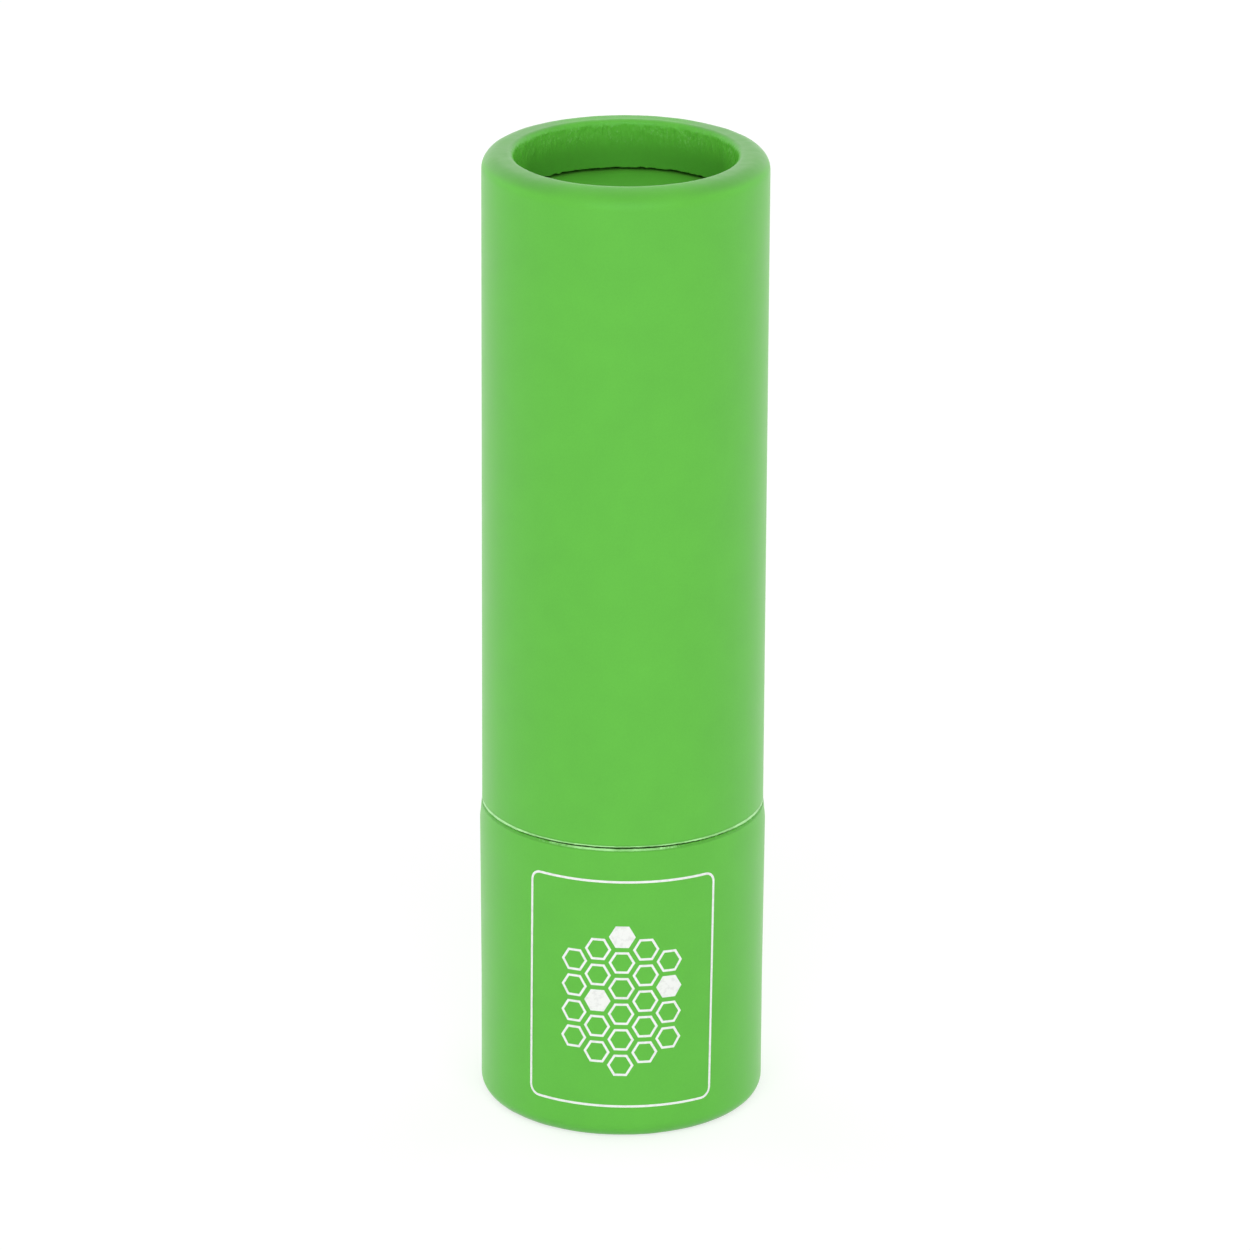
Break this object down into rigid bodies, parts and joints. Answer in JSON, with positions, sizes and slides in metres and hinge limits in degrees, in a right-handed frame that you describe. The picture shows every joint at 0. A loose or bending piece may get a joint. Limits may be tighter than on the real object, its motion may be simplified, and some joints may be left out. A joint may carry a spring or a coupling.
{
  "type": "twist-up lip balm stick",
  "caption": "Round paperboard lip balm stick with a pull-off cap and a turning base that raises the balm out of the neck on a spiral sleeve.",
  "frame": {"origin": "centre of the foot that the closed stick stands on", "axes": "+Z along the stick from the base to the cap; -Y faces the viewer of the picture, where the base's label is"},
  "size_m": [0.02, 0.02, 0.0696],
  "materials": {
    "green_paper": "matt coated paper",
    "grey_board": "raw wound board",
    "white_paper": "uncoated paper",
    "white_plastic": "moulded satin",
    "natural_plastic": "moulded, uncoloured",
    "balm_wax": "smooth cast wax"
  },
  "bodies": {
    "base": {"base_wrap": "green_paper", "base_board_tube": "grey_board", "base_lining": "white_paper", "base_disc": "grey_board", "base_disc_facing": "green_paper", "base_insert": "white_plastic", "fork": "natural_plastic"},
    "neck": {"neck_shell": "white_plastic", "spiral_sleeve": "natural_plastic"},
    "carrier": {"carrier_cup": "natural_plastic", "balm": "balm_wax"},
    "cap": {"cap_wrap": "green_paper", "cap_board_tube": "grey_board", "cap_lining": "white_paper", "cap_disc": "grey_board", "cap_disc_facing": "green_paper", "cap_sleeve": "white_plastic"}
  },
  "joints": [
    {"name": "twist", "type": "hinge", "parent": "base", "child": "neck", "pos_m": [0, 0, 0], "axis": [0, 0, -1], "range_deg": [0, 450]},
    {"name": "rise", "type": "slide", "parent": "base", "child": "carrier", "axis": [0, 0, 1], "range_m": [0, 0.0241]},
    {"name": "cap_pull", "type": "slide", "parent": "neck", "child": "cap", "axis": [0, 0, 1], "range_m": [0, 0.06]}
  ],
  "couplings": [
    {"joint": "rise", "follows": "twist", "m_per_rad": 0.0030558}
  ]
}
